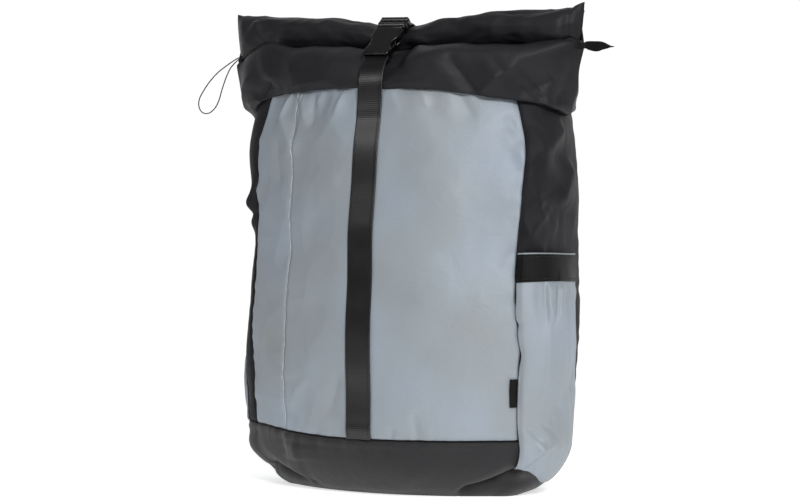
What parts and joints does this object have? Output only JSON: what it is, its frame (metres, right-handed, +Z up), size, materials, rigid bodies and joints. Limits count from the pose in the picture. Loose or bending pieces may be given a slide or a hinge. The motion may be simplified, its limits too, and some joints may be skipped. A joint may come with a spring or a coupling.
{
  "type": "roll-top backpack",
  "caption": "Stuffed roll-top backpack with a pale grey front, black sides and collar, centre webbing strap with side-release buckle, side pockets and padded shoulder straps.",
  "frame": {"origin": "middle of the flat underside of the base", "axes": "+Z up, the front faces -Y, +X to the right as seen from the front"},
  "size_m": [0.4383, 0.2125, 0.4523],
  "materials": {
    "grey_cloth": "smooth coated reflective cloth",
    "black_cloth": "fine plain-woven nylon, satin",
    "base_cloth": "matt woven polyester",
    "padded_cloth": "padded mesh-faced cloth, matt",
    "webbing": "ribbed woven webbing",
    "plastic": "satin moulded plastic",
    "label": "plain woven tape",
    "cord": "thin flat-braided cord"
  },
  "bodies": {
    "root": {"front_panel": "grey_cloth", "front_side_panel": "grey_cloth", "right_gusset": "black_cloth", "left_gusset": "black_cloth", "back_panel": "padded_cloth", "base": "base_cloth", "roll_top": "black_cloth", "front_strap": "webbing", "back_strap": "webbing", "buckle_female": "plastic", "buckle_male": "plastic", "right_pocket": "grey_cloth", "right_pocket_band": "webbing", "left_pocket": "grey_cloth", "left_pocket_band": "webbing", "side_label": "label", "zip_pull_loop": "cord", "zip_end_tab": "label", "right_shoulder_strap": "padded_cloth", "right_lower_webbing": "webbing", "right_ladder_lock": "plastic", "left_shoulder_strap": "padded_cloth", "left_lower_webbing": "webbing", "left_ladder_lock": "plastic", "grab_loop": "webbing"}
  },
  "joints": []
}
